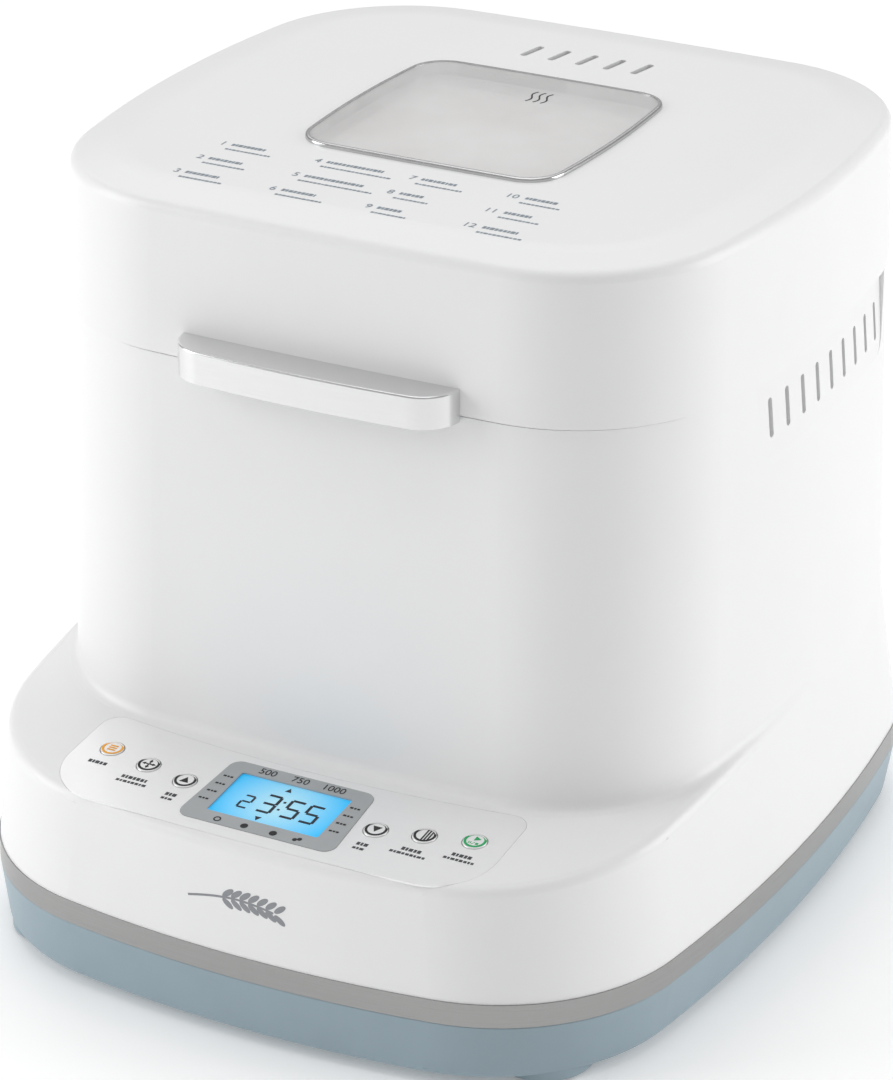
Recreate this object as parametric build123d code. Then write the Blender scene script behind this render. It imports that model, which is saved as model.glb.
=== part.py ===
"""Countertop bread machine, in millimetres: Z up, X to the user's right, the control panel towards -Y.

Shapes are drawn about the axis of the baking pan. save() moves them back by PAN_AXIS_Y, which puts
the origin in the middle of the footprint, level with the soles of the feet.
"""
import os
from math import atan, cos, degrees, radians

from build123d import *

# ---- Footprint and main levels -------------------------------------------------------------
PAN_AXIS_Y = 26.0          # the pan stands this far behind the middle of the footprint
BASE_HALF_WIDTH = 139.7
BASE_FRONT = -183.5
BASE_REAR = 131.5
BASE_WIDEST_Y = -21.2

FOOT_HEIGHT = 4.0
TRAY_TOP = 25.0
SHELL_BOTTOM = 33.8
SEAM_BELOW = 221.6         # top edge of the housing
SEAM_ABOVE = 222.4         # bottom edge of the lid
LID_EDGE = 276.6
LID_TOP = 279.4

WALL = 2.5                 # moulded plastic walls
GAP = 0.3                  # clearance between pieces that move apart

# ---- Tower and lid -------------------------------------------------------------------------
TOWER_HALF_WIDTH = 130.2
TOWER_HALF_DEPTH = 119.9
TOWER_DRAFT = 0.0254       # widening per millimetre of height going down
LID_HALF_WIDTH = 131.4
LID_HALF_DEPTH = 121.0
LID_DRAFT = 0.022          # narrowing per millimetre going up
LID_BAND = 17.0            # width of the sloping band round the lid's flat top
LID_EDGE_RADIUS = 4.0
LID_CROWN_RADIUS = 40.0

# ---- Control console -----------------------------------------------------------------------
CONSOLE_Y = -150.0
CONSOLE_Z = 78.0
CONSOLE_ANGLE = degrees(atan(0.107))
KEY_PLACES = {
    "key_menu": (-72.3, -145.0),
    "key_size": (-55.0, -148.8),
    "key_time_up": (-38.0, -152.3),
    "key_time_down": (38.0, -152.3),
    "key_colour": (55.0, -148.8),
    "key_start": (72.3, -145.0),
}
KEY_RADIUS = 4.3
KEY_HOLE_RADIUS = KEY_RADIUS + GAP
KEY_FLANGE_RADIUS = 5.7
LOWER_LOFT_TOP = 115.0     # the lower body is drawn up to here, then cut off along the console
SKIN = 2.5                 # console skin thickness
OVERLAY = 0.8
BOARD_DEPTH = 9.0          # top of the control board below the console surface
DISPLAY_HALF_WIDTH = 22.0
DISPLAY_REAR = 10.4
DISPLAY_FRONT = -14.6

# ---- Baking chamber, pan and drive ---------------------------------------------------------
CHAMBER_HALF_WIDTH = 86.0
CHAMBER_HALF_DEPTH = 80.0
CHAMBER_CORNER = 22.0
CHAMBER_SHEET = 0.8
CHAMBER_FLOOR = 50.0
CHAMBER_TOP = 218.8
DECK_TOP = 221.4

PAN_HALF_WIDTH = 70.0
PAN_HALF_DEPTH = 68.0
PAN_CORNER = 20.0
PAN_DRAFT = 3.0
PAN_WALL = 1.6
PAN_BOTTOM = 66.0
PAN_RIM = 197.0
PAN_FOOT_RADIUS = 46.0
SEAT_TOP = 58.0
BAIL_PIVOT_Z = 201.0
BAIL_REACH = 62.0
BAIL_WIRE = 2.0

SHAFT_RADIUS = 4.0
RUNNING_FIT = 0.05
PLATE_BOTTOM = 28.0
PLATE_TOP = 29.2
DRIVEN_PULLEY_RADIUS = 50.0
MOTOR_PULLEY_RADIUS = 9.0
PULLEY_BOTTOM = 12.0
PULLEY_TOP = 24.0
BELT_THICKNESS = 1.2
MOTOR_X = 40.0
MOTOR_Y = -138.0
MOTOR_SHAFT_RADIUS = 3.0
STACK_BOTTOM = 38.0
STACK_TOP = 54.0
ROTOR_RADIUS = 15.0

HEATER_RADIUS = 3.25
HEATER_Z = 76.0

# ---- Lid fittings --------------------------------------------------------------------------
WINDOW_HALF_WIDTH = 51.4
WINDOW_HALF_DEPTH = 50.6
WELL_CEILING = 267.0
FRAME_OUTSET = 0.4         # window frame outside and inside the window's outline
FRAME_INSET = 1.1
FRAME_BOTTOM = 274.8
FRAME_TOP = LID_TOP + 1.4
HINGE_Y = 126.6
HINGE_Z = 222.0
HINGE_RADIUS = 4.5
HINGE_PIN_RADIUS = 2.0
HINGE_X = 70.0
HANDLE_HALF_WIDTH = 53.5
HANDLE_FRONT = -135.2
HANDLE_BOTTOM = 220.2
HANDLE_TOP = 232.0
HANDLE_WALL = 2.2
HANDLE_CORNER = 14.0

os.makedirs("parts", exist_ok=True)


# ---- Helpers -------------------------------------------------------------------------------
def save(name, shape):
    """Write one sub-part, with the origin moved to the middle of the footprint."""
    moved = Pos(0, PAN_AXIS_Y, 0) * shape
    export_step(moved, f"parts/{name}.step")


def column(x, y, bottom, top, radius, bore=0.0):
    """Upright cylinder, or a tube when it has a bore."""
    body = Pos(x, y, (bottom + top) / 2) * Cylinder(radius, top - bottom)
    if bore:
        body -= Pos(x, y, (bottom + top) / 2) * Cylinder(bore, top - bottom + 1)
    return body


def block(x_range, y_range, z_range):
    """Box between three pairs of limits."""
    (x0, x1), (y0, y1), (z0, z1) = x_range, y_range, z_range
    centre = Pos((x0 + x1) / 2, (y0 + y1) / 2, (z0 + z1) / 2)
    return centre * Box(x1 - x0, y1 - y0, z1 - z0)


def bar_x(x_range, y, z, radius):
    """Round bar lying along X."""
    length = x_range[1] - x_range[0]
    return Pos((x_range[0] + x_range[1]) / 2, y, z) * Rot(0, 90, 0) * Cylinder(radius, length)


def bar_y(x, y_range, z, radius):
    """Round bar lying along Y."""
    length = y_range[1] - y_range[0]
    return Pos(x, (y_range[0] + y_range[1]) / 2, z) * Rot(90, 0, 0) * Cylinder(radius, length)


def outline(half_width, front, rear, bulge, widest_y, corners, inset=0.0):
    """Outline with four gently bulged sides.

    bulge holds the radii of the sides, the front and the rear, and corners the front and rear radii.
    inset moves the whole outline inwards by the same distance.
    """
    side_radius, front_radius, rear_radius = (radius - inset for radius in bulge)
    half_width -= inset
    front += inset
    rear -= inset
    right = Pos(half_width - side_radius, widest_y) * Rot(0, 0, 180) * Circle(side_radius)
    left = Pos(side_radius - half_width, widest_y) * Circle(side_radius)
    plan = right & left
    plan &= Pos(0, front + front_radius) * Circle(front_radius)
    plan &= Pos(0, rear - rear_radius) * Circle(rear_radius)
    by_depth = plan.vertices().sort_by(Axis.Y)
    plan = fillet(by_depth[:2], corners[0] - inset)
    by_depth = plan.vertices().sort_by(Axis.Y)
    rear_corners = [v for v in by_depth if v.Y > widest_y + 10][-2:]
    return fillet(rear_corners, corners[1] - inset)


def tower_plan(z, inset=0.0):
    """Outline of the tower at height z."""
    grow = TOWER_DRAFT * (SEAM_BELOW - z)
    depth = TOWER_HALF_DEPTH + grow
    plan = outline(TOWER_HALF_WIDTH + grow, -depth, depth, (430, 1877, 1877), 0, (61, 61), inset)
    return Pos(0, 0, z) * plan


def base_plan(z, inset=0.0):
    """Outline of the lower housing at height z: widest at the trim band, tapering upwards."""
    rise = max(z - SHELL_BOTTOM, 0)
    half_width = BASE_HALF_WIDTH - 0.4 - 0.0955 * rise
    front = BASE_FRONT + 0.4 + 0.075 * rise
    rear = BASE_REAR - 0.4 - 0.173 * rise
    plan = outline(half_width, front, rear, (708, 453, 1877), BASE_WIDEST_Y, (73, 59), inset)
    return Pos(0, 0, z) * plan


def tray_plan(z, inset=0.0):
    """Outline of the base tray and the trim band at height z, tapering to the floor."""
    drop = max(TRAY_TOP - z, 0)
    shrink = 0.155 * drop
    plan = outline(
        BASE_HALF_WIDTH - shrink,
        BASE_FRONT + 0.1 * shrink,
        BASE_REAR - shrink,
        (708, 453, 1877),
        BASE_WIDEST_Y,
        (73, 59),
        inset,
    )
    return Pos(0, 0, z) * plan


def lid_plan(z, inset=0.0):
    """Outline of the lid at height z."""
    shrink = LID_DRAFT * (z - SEAM_ABOVE)
    depth = LID_HALF_DEPTH - shrink
    plan = outline(LID_HALF_WIDTH - shrink, -depth, depth, (430, 1877, 1877), 0, (61, 61), inset)
    return Pos(0, 0, z) * plan


def rounded(half_width, half_depth, corner, z=0.0):
    """Plain rounded rectangle at height z."""
    return Pos(0, 0, z) * RectangleRounded(2 * half_width, 2 * half_depth, corner)


def between(plan, bottom, top, inset=0.0):
    """Solid between a plan function's outlines at two heights."""
    return loft([plan(bottom, inset), plan(top, inset)], ruled=True)


def prism(sketch, bottom, top):
    """Upright prism of a sketch drawn at z = 0."""
    return extrude(Pos(0, 0, bottom) * sketch, top - bottom)


def console(x, y, depth=0.0):
    """Location on the sloping console surface, looking along its normal."""
    slope = radians(CONSOLE_ANGLE)
    along = (y - CONSOLE_Y) / cos(slope)
    return (
        Pos(0, CONSOLE_Y, CONSOLE_Z)
        * Rot(CONSOLE_ANGLE, 0, 0)
        * Pos(x, along, -depth)
    )


def console_slab(sketch, near, far):
    """Prism normal to the console between two depths below its surface."""
    return console(0, CONSOLE_Y, far) * extrude(sketch, far - near)


def console_column(x, y, near, far, radius):
    """Cylinder normal to the console between two depths below its surface."""
    return console(x, y, (near + far) / 2) * Cylinder(radius, far - near)


def mirrored(shape):
    """A shape and its mirror image across the middle of the machine."""
    return [shape, mirror(shape, Plane.YZ)]


def above_console():
    """Everything above the sloping console surface."""
    return console(0, CONSOLE_Y) * Pos(0, 0, 200) * Box(600, 900, 400)


def lower_body():
    """Lower housing with its sloping console top and rounded top edge."""
    body = between(base_plan, SHELL_BOTTOM, LOWER_LOFT_TOP)
    body -= above_console()
    slope = body.faces().sort_by(Axis.Z)[-1]
    return fillet(slope.edges(), 4.0)


def housing_envelope():
    """Outside of the housing: the tower standing on the lower body, with a hollow fillet at its foot."""
    tower = between(tower_plan, SHELL_BOTTOM, SEAM_BELOW)
    body = tower + lower_body()
    slope = body.faces().filter_by(GeomType.PLANE).sort_by(lambda face: face.normal_at().Y)[0]
    foot = [edge for edge in slope.edges() if tower.distance_to(Vertex(*(edge @ 0.5))) < 0.01]
    return fillet(foot, 4.0)


def housing_cavity():
    """Inside of the housing walls."""
    tower = between(tower_plan, SHELL_BOTTOM - 1, SEAM_BELOW + 1, WALL)
    lower = between(base_plan, SHELL_BOTTOM - 1, LOWER_LOFT_TOP, WALL)
    lower -= console(0, CONSOLE_Y, SKIN) * Pos(0, 0, 200) * Box(600, 900, 400)
    return tower + lower


def level_edges(solid, height):
    """The solid's edges that lie level at that height."""
    boxes = [(edge, edge.bounding_box()) for edge in solid.edges()]
    return [edge for edge, box in boxes if max(abs(box.min.Z - height), abs(box.max.Z - height)) < 0.01]


def lid_envelope():
    """Outside of the lid, with its softly sloping top band."""
    body = between(lid_plan, SEAM_ABOVE, LID_EDGE)
    body += loft([lid_plan(LID_EDGE), lid_plan(LID_TOP, LID_BAND)], ruled=True)
    body = fillet(level_edges(body, LID_EDGE), LID_EDGE_RADIUS)
    return fillet(level_edges(body, LID_TOP), LID_CROWN_RADIUS)


HOUSING = housing_envelope()
CAVITY = housing_cavity()
TOWER = between(tower_plan, SHELL_BOTTOM, SEAM_BELOW)
LID_ENVELOPE = lid_envelope()


# ---- Feet, base tray and trim band ---------------------------------------------------------
FOOT_PLACES = [(x, y) for x in (-98, 98) for y in (-143, 92)]
FOOT_RADIUS = 18.0
FOOT_PAD = 1.2
BASE_SCREW_PLACES = [(s * x, y) for s in (-1, 1) for x, y in ((80, -164), (126, -60), (62, 119))]
PLATE_SCREW_PLACES = [(s * x, y) for s in (-1, 1) for x, y in ((84, -110), (84, 0), (60, 66))]
TRAY_FLOOR = 6.5
LIP_TOP = 35.5
POST_TOP = 40.0


def rubber_feet():
    """Four rubber pads under the moulded feet, each with a stud pressed into the tray."""
    feet = []
    for x, y in FOOT_PLACES:
        foot = column(x, y, 0, FOOT_PAD, FOOT_RADIUS - 2)
        foot = fillet(foot.edges().sort_by(Axis.Z)[:1], 0.5)
        foot += column(x, y, FOOT_PAD, TRAY_FLOOR, 3)
        feet.append(foot)
    return Compound(children=feet)


def base_tray():
    """Moulded tray closing the machine from below, with a lip that locates the housing."""
    outer = between(tray_plan, FOOT_HEIGHT, TRAY_TOP)
    outer = fillet(outer.faces().sort_by(Axis.Z)[0].edges(), 2.5)
    outer = fillet(outer.faces().sort_by(Axis.Z)[-1].edges(), 0.6)
    tray = outer - between(tray_plan, TRAY_FLOOR, TRAY_TOP + 1, 3.0)
    lip_outer = prism(Pos(0, 0, -TRAY_TOP) * tray_plan(TRAY_TOP, 3.8), TRAY_TOP - 4, LIP_TOP)
    lip_inner = prism(Pos(0, 0, -TRAY_TOP) * tray_plan(TRAY_TOP, 5.7), TRAY_TOP - 5, 38)
    shelf = prism(Pos(0, 0, -TRAY_TOP) * tray_plan(TRAY_TOP, 1.5), TRAY_TOP - 4, TRAY_TOP)
    tray += shelf - lip_inner
    tray += lip_outer - lip_inner
    for x, y in BASE_SCREW_PLACES:
        tray += column(x, y, TRAY_FLOOR - 1, POST_TOP, 4.8)
        tray -= column(x, y, 0, POST_TOP + 1, 1.9)
        tray -= column(x, y, 0, 22, 3.4)
    for x, y in PLATE_SCREW_PLACES:
        tray += column(x, y, TRAY_FLOOR - 1, PLATE_BOTTOM, 5, 1.3)
    for x, y in FOOT_PLACES:
        tray += column(x, y, FOOT_PAD, TRAY_FLOOR, FOOT_RADIUS)
        tray -= column(x, y, 0, 10, 3)
    for row in range(7):
        y = -150 + 9 * row
        for x in (-56, 20):
            tray -= block((x - 22, x + 22), (y - 1.6, y + 1.6), (0, 10))
    return tray


def trim_band():
    """Brushed steel band between the tray and the housing."""
    band = between(tray_plan, TRAY_TOP, SHELL_BOTTOM)
    return band - between(tray_plan, TRAY_TOP - 1, SHELL_BOTTOM + 1, 2.4)


# ---- Housing -------------------------------------------------------------------------------
VENT_MID_Y = 14.0
VENT_PITCH = 12.2
VENT_COUNT = 9
RECESS_BOTTOM = 190.0
RECESS_DEPTH = 2.0


def side_recess():
    """Wedge cut in the side of the tower that runs out downwards, deepest at the seam."""
    low, top = RECESS_BOTTOM, SEAM_BELOW + 1
    keep = loft([tower_plan(low, 0), tower_plan(top, RECESS_DEPTH)], ruled=True)
    front_top = (VENT_MID_Y - 61, top)
    front_low = (VENT_MID_Y - 55, low)
    rear_low = (VENT_MID_Y + 55, low)
    rear_top = (VENT_MID_Y + 61, top)
    side = Plane.YZ * make_face(Polyline(front_top, front_low, rear_low, rear_top, close=True))
    wedge = Pos(100, 0, 0) * extrude(side, 60)
    lower_edges = wedge.edges().filter_by(Axis.X).sort_by(Axis.Z)[:2]
    wedge = fillet(lower_edges, 9)
    return wedge - keep


def side_slots():
    """Row of upright ventilation slots through the side of the tower."""
    slots = []
    first = VENT_MID_Y - VENT_PITCH * (VENT_COUNT - 1) / 2
    for step in range(VENT_COUNT):
        slot = Plane.YZ * SlotOverall(14.5, 2.8, rotation=90)
        slots.append(Pos(100, first + VENT_PITCH * step, 204.3) * extrude(slot, 60))
    return slots


def side_backing():
    """Thicker wall behind the recess, which keeps the plastic at full strength."""
    band = between(tower_plan, 186, SEAM_BELOW, 1.0) - between(tower_plan, 185, SEAM_BELOW + 1, 4.6)
    return band & block((80, 140), (VENT_MID_Y - 66, VENT_MID_Y + 66), (186, SEAM_BELOW))


def panel_outline(margin=0.0):
    """Outline of the control panel on the console, front edge bulged like the housing."""
    rear = ThreePointArc((-84.6, 25.6), (0, 19.9), (84.6, 25.6))
    right = Line((84.6, 25.6), (85.2, -24))
    front = ThreePointArc((85.2, -24), (0, -26.9), (-85.2, -24))
    left = Line((-85.2, -24), (-84.6, 25.6))
    plan = make_face(Wire([rear, right, front, left]))
    corners = plan.vertices().sort_by(Axis.Y)
    plan = fillet(corners[:2], 22)
    plan = fillet(plan.vertices().sort_by(Axis.Y)[-2:], 7)
    if margin:
        plan = offset(plan, margin)
    return plan


def bezel_outline(margin=0.0):
    """Outline of the display bezel, a little narrower towards the tower."""
    corners = [(-28.4, 16.4), (28.4, 16.4), (31.0, -21.0), (-31.0, -21.0)]
    plan = fillet(make_face(Polyline(*corners, close=True)).vertices(), 4.5)
    if margin:
        plan = offset(plan, margin)
    return plan


def display_opening():
    """Rectangle that the display shows through."""
    middle = (DISPLAY_REAR + DISPLAY_FRONT) / 2
    return Pos(0, middle) * RectangleRounded(2 * DISPLAY_HALF_WIDTH, DISPLAY_REAR - DISPLAY_FRONT, 1)


def housing_shell():
    """One-piece outer housing: tower, console and lower skirt."""
    shell = HOUSING - CAVITY
    for boss_x, boss_y in BASE_SCREW_PLACES:
        reach_x = 14 if boss_x > 110 else (-14 if boss_x < -110 else 0)
        reach_y = 0 if reach_x else (14 if boss_y > 0 else -14)
        boss = column(boss_x, boss_y, POST_TOP, 56, 5.2)
        rib_x = sorted((boss_x - 1.5 if reach_y else boss_x, boss_x + 1.5 if reach_y else boss_x + reach_x))
        rib_y = sorted((boss_y - 1.5 if reach_x else boss_y, boss_y + 1.5 if reach_x else boss_y + reach_y))
        boss += block(rib_x, rib_y, (POST_TOP, 56))
        shell += boss & HOUSING
        shell -= column(boss_x, boss_y, POST_TOP - 1, 53, 1.5)
    shell -= between(tower_plan, CHAMBER_TOP, SEAM_BELOW + 1, 1.3)
    for backing in mirrored(side_backing()):
        shell += backing
    for recess in mirrored(side_recess()):
        shell -= recess
    for slot in side_slots():
        for cut in mirrored(slot):
            shell -= cut
    shell -= console_slab(panel_outline(0.1), -5, OVERLAY)
    shell -= console_slab(bezel_outline(0.1), -5, 6)
    for x, y in KEY_PLACES.values():
        shell -= console_column(x, y, -5, 6, KEY_HOLE_RADIUS)
    shell -= bar_y(GLAND_X, (100, 150), GLAND_Z, 6.0)
    for row in range(6):
        shell -= block((-45, -10), (100, 150), (150 + 9 * row, 153 + 9 * row))
        shell -= block((10, 45), (100, 150), (150 + 9 * row, 153 + 9 * row))
    return shell


def top_deck():
    """Ring that closes the gap between the housing and the baking chamber."""
    plate = between(tower_plan, CHAMBER_TOP, DECK_TOP, 1.5)
    for backing in mirrored(side_backing()):
        plate -= backing
    opening = rounded(CHAMBER_HALF_WIDTH + GAP, CHAMBER_HALF_DEPTH + GAP, CHAMBER_CORNER + GAP)
    return plate - prism(opening, CHAMBER_TOP - 1, DECK_TOP + 1)


GLAND_X = -30.0
GLAND_Z = 50.0


def cord_gland():
    """Grommet in the rear wall where a mains cord would enter."""
    outside = 132.0
    gland = bar_y(GLAND_X, (116, outside), GLAND_Z, 6.0)
    gland += bar_y(GLAND_X, (116, 121), GLAND_Z, 8.5)
    flange = bar_y(GLAND_X, (120, outside), GLAND_Z, 9.0) - HOUSING
    gland += flange & block((-200, 200), (100, 131.2), (0, 300))
    gland = gland & block((-200, 200), (100, 131.2), (0, 300))
    return gland - bar_y(GLAND_X, (100, 150), GLAND_Z, 3.6)


# ---- Hinge ---------------------------------------------------------------------------------
def hinge_brackets():
    """Two forked brackets screwed to the rear of the tower."""
    brackets = []
    for side in (-1, 1):
        middle = side * HINGE_X
        for x0, x1 in ((middle - 12, middle - 4.1), (middle + 4.1, middle + 12)):
            brackets.append(bar_x((x0, x1), HINGE_Y, HINGE_Z, HINGE_RADIUS))
            brackets.append(block((x0, x1), (110, HINGE_Y), (HINGE_Z - HINGE_RADIUS, HINGE_Z - 0.6)))
        brackets.append(block((middle - 12, middle + 12), (110, HINGE_Y), (206, 217)))
        brackets.append(block((middle - 12, middle - 4.1), (110, HINGE_Y), (216, 219)))
        brackets.append(block((middle + 4.1, middle + 12), (110, HINGE_Y), (216, 219)))
    joined = brackets[0].fuse(*brackets[1:])
    joined -= TOWER
    joined -= between(tower_plan, SEAM_BELOW, SEAM_BELOW + 12)
    for side in (-1, 1):
        joined -= bar_x((side * HINGE_X - 13, side * HINGE_X + 13), HINGE_Y, HINGE_Z, HINGE_PIN_RADIUS)
    return joined


def hinge_pins():
    """Steel pins, pressed in the brackets and free in the lid's knuckles."""
    pin = bar_x((HINGE_X - 12, HINGE_X + 12), HINGE_Y, HINGE_Z, HINGE_PIN_RADIUS)
    return Compound(children=mirrored(pin))


# ---- Lid -----------------------------------------------------------------------------------
def lid_vents():
    """Five slanted steam slots behind the window."""
    slots = []
    for step in range(5):
        slot = Rot(0, 0, 80) * SlotOverall(13, 2.8)
        slots.append(Pos(2 + 11.25 * (step - 2), 76.5, 260) * extrude(slot, 30))
    return slots


def lid_shell():
    """Outer lid with its window opening, steam slots and hinge knuckles."""
    inner = between(lid_plan, SEAM_ABOVE - 1, LID_EDGE - WALL, WALL)
    inner += loft([lid_plan(LID_EDGE - WALL, WALL), lid_plan(LID_TOP - WALL, LID_BAND)], ruled=True)
    shell = LID_ENVELOPE - inner
    shell -= prism(window_outline(-FRAME_OUTSET), 260, 300)
    for slot in lid_vents():
        shell -= slot
    for side in (-1, 1):
        middle = side * HINGE_X
        knuckle = bar_x((middle - 3.8, middle + 3.8), HINGE_Y, HINGE_Z, HINGE_RADIUS)
        arm = block((middle - 3.8, middle + 3.8), (117, HINGE_Y + 2), (HINGE_Z + 1, HINGE_Z + HINGE_RADIUS))
        knuckle += arm - inner
        knuckle -= bar_x((middle - 13, middle + 13), HINGE_Y, HINGE_Z, HINGE_PIN_RADIUS + RUNNING_FIT)
        shell += knuckle
    return shell


def window_outline(inset=0.0):
    """Outline of the viewing window, gently bulged like the lid."""
    depth = WINDOW_HALF_DEPTH
    return outline(WINDOW_HALF_WIDTH, -depth, depth, (430, 2150, 2150), 0, (13.5, 13.5), inset)


def window_frame():
    """Metal ring that holds the outer glass in the lid."""
    frame = prism(window_outline(-FRAME_OUTSET), FRAME_BOTTOM, FRAME_TOP)
    frame = fillet(level_edges(frame, FRAME_TOP), 0.8)
    return frame - prism(window_outline(FRAME_INSET), 270, 290)


def window_glass():
    """Outer pane of the window."""
    return prism(window_outline(FRAME_INSET), FRAME_BOTTOM + 0.6, FRAME_TOP - 0.4)


def inner_glass():
    """Inner pane, lying on the ceiling plate of the lid."""
    return prism(rounded(50, 50, 9), WELL_CEILING + 1.2, WELL_CEILING + 4.2)


def lid_inner_cover():
    """Pressed metal inner lid: a flange and the slanted wall round the hollow over the pan."""
    flange_low, flange_high = 223.0, 224.2
    cover = prism(lid_plan_flat(4.0), flange_low, flange_high)
    dome_low = rounded(89, 81, 24, flange_low)
    dome_high = rounded(82, 75, 24, WELL_CEILING)
    cover += loft([dome_low, dome_high], ruled=True)
    hollow_low = rounded(88, 80, 23, flange_low - 1)
    hollow_high = rounded(81, 74, 23, WELL_CEILING + 1)
    cover -= loft([hollow_low, hollow_high], ruled=True)
    return cover


def lid_ceiling_plate():
    """Flat plate that closes the hollow of the lid, with the window opening and the steam holes."""
    plate = prism(rounded(82, 75, 24), WELL_CEILING, WELL_CEILING + 1.2)
    plate -= prism(rounded(46, 46, 7), 250, 290)
    for step in range(5):
        plate -= column(-16 + 8 * step, 62, 250, 290, 1.8)
    return plate


def lid_plan_flat(inset):
    """Outline of the lid at the seam, drawn at z = 0."""
    return Pos(0, 0, -SEAM_ABOVE) * lid_plan(SEAM_ABOVE, inset)


def lid_seal():
    """Silicone seal under the inner cover, just above the deck round the chamber."""
    ring = prism(rounded(96, 88, 32), DECK_TOP + GAP, 223.0)
    return ring - prism(rounded(91, 83, 27), 200, 240)


def handle_plan(inset=0.0):
    """Outline of the lid handle with rounded front corners."""
    front = HANDLE_FRONT + inset
    half = HANDLE_HALF_WIDTH - inset
    front_edge = ThreePointArc((-half, front + 2.6), (0, front), (half, front + 2.6))
    right = Line((half, front + 2.6), (half, -112 - inset))
    rear = Line((half, -112 - inset), (-half, -112 - inset))
    left = Line((-half, -112 - inset), (-half, front + 2.6))
    plan = make_face(Wire([front_edge, right, rear, left]))
    return fillet(plan.vertices().sort_by(Axis.Y)[:2], HANDLE_CORNER - inset)


def lid_handle():
    """Satin metal grip on the front of the lid, open below for the fingers."""
    handle = prism(handle_plan(), HANDLE_BOTTOM, HANDLE_TOP)
    handle = fillet(handle.faces().sort_by(Axis.Z)[-1].edges().sort_by(Axis.Y)[:-1], 0.8)
    handle -= prism(handle_plan(HANDLE_WALL), HANDLE_BOTTOM - 1, HANDLE_TOP - HANDLE_WALL)
    handle -= LID_ENVELOPE
    handle -= between(tower_plan, SHELL_BOTTOM, SEAM_ABOVE + 0.01, -0.9)
    return handle


# ---- Baking chamber ------------------------------------------------------------------------
def chamber_wall(gap, bottom, top):
    """Rounded prism that stands off the chamber's inner face by gap."""
    plan = rounded(CHAMBER_HALF_WIDTH + gap, CHAMBER_HALF_DEPTH + gap, CHAMBER_CORNER + gap)
    return prism(plan, bottom, top)


def baking_chamber():
    """Sheet metal oven with a turned-out flange that hangs under the deck."""
    chamber = chamber_wall(CHAMBER_SHEET, CHAMBER_FLOOR, CHAMBER_TOP)
    chamber += chamber_wall(12, CHAMBER_TOP - CHAMBER_SHEET, CHAMBER_TOP)
    chamber -= chamber_wall(0, CHAMBER_FLOOR + CHAMBER_SHEET, CHAMBER_TOP + 1)
    chamber -= column(0, 0, 40, 60, 17)
    for x in (-12, 12):
        chamber -= bar_y(x, (70, 95), HEATER_Z, 4.5)
    chamber -= bar_y(48, (-90, -70), 112, 3)
    return chamber


def chamber_pan_seat():
    """Ring on the chamber floor that the pan's foot drops into."""
    floor = CHAMBER_FLOOR + CHAMBER_SHEET
    ring = column(0, 0, floor, SEAT_TOP, 53, PAN_FOOT_RADIUS + 0.5)
    ledge = column(0, 0, floor, 53.2, 50, 38)
    seat = ring + ledge
    for turn in (0, 90, 180, 270):
        seat -= Rot(0, 0, turn) * block((44, 56), (-7, 7), (54.5, 60))
    return seat


def heater_path():
    """Centre line of the heater: a loop near the chamber wall, with both ends out at the rear."""
    points = [(-12, 96), (-12, 73), (-78, 73), (-78, -73), (78, -73), (78, 73), (12, 73), (12, 96)]
    flat = FilletPolyline(*points, radius=[4.8, 24, 24, 24, 24, 4.8])
    return Pos(0, 0, HEATER_Z) * flat


def heating_element():
    """Tubular heater."""
    path = heater_path()
    start = Plane(origin=(-12, 96, HEATER_Z), z_dir=(0, -1, 0))
    return sweep(start * Circle(HEATER_RADIUS), path)


def heater_insulators():
    """Ceramic beads where the heater passes through the chamber wall."""
    beads = []
    for x in (-12, 12):
        wall = CHAMBER_HALF_DEPTH + CHAMBER_SHEET
        bead = bar_y(x, (wall, wall + 7), HEATER_Z, 6.5)
        bead += bar_y(x, (CHAMBER_HALF_DEPTH - 2, wall + 1), HEATER_Z, 4.5)
        beads.append(bead - bar_y(x, (60, 110), HEATER_Z, HEATER_RADIUS))
    return Compound(children=beads)


def heater_brackets():
    """Clips that hold the heater off the chamber wall."""
    clips = []
    for side in (-1, 1):
        for y in (-35, 35):
            clip = bar_y(side * 78, (y - 4, y + 4), HEATER_Z, HEATER_RADIUS + 1)
            reach = sorted((side * 80, side * CHAMBER_HALF_WIDTH))
            clip += block(reach, (y - 4, y + 4), (HEATER_Z - 1, HEATER_Z + 1))
            clips.append(clip - bar_y(side * 78, (y - 9, y + 9), HEATER_Z, HEATER_RADIUS))
        clip = bar_x((side * 40 - 4, side * 40 + 4), -73, HEATER_Z, HEATER_RADIUS + 1)
        tab_y = (-CHAMBER_HALF_DEPTH, -75)
        clip += block((side * 40 - 4, side * 40 + 4), tab_y, (HEATER_Z - 1, HEATER_Z + 1))
        clips.append(clip - bar_x((side * 40 - 9, side * 40 + 9), -73, HEATER_Z, HEATER_RADIUS))
    return Compound(children=clips)


def temperature_sensors():
    """Probe through the front wall of the chamber and the fuse on its rear wall."""
    wall = CHAMBER_HALF_DEPTH + CHAMBER_SHEET
    probe = bar_y(48, (-wall - 12, -73.5), 112, 3)
    probe += bar_y(48, (-wall - 4, -wall), 112, 6)
    fuse = bar_x((32, 50), wall + 4.5, 120, 2.5)
    fuse += block((36, 46), (wall, wall + 4), (117, 123))
    return Compound(children=[probe, fuse])


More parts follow.
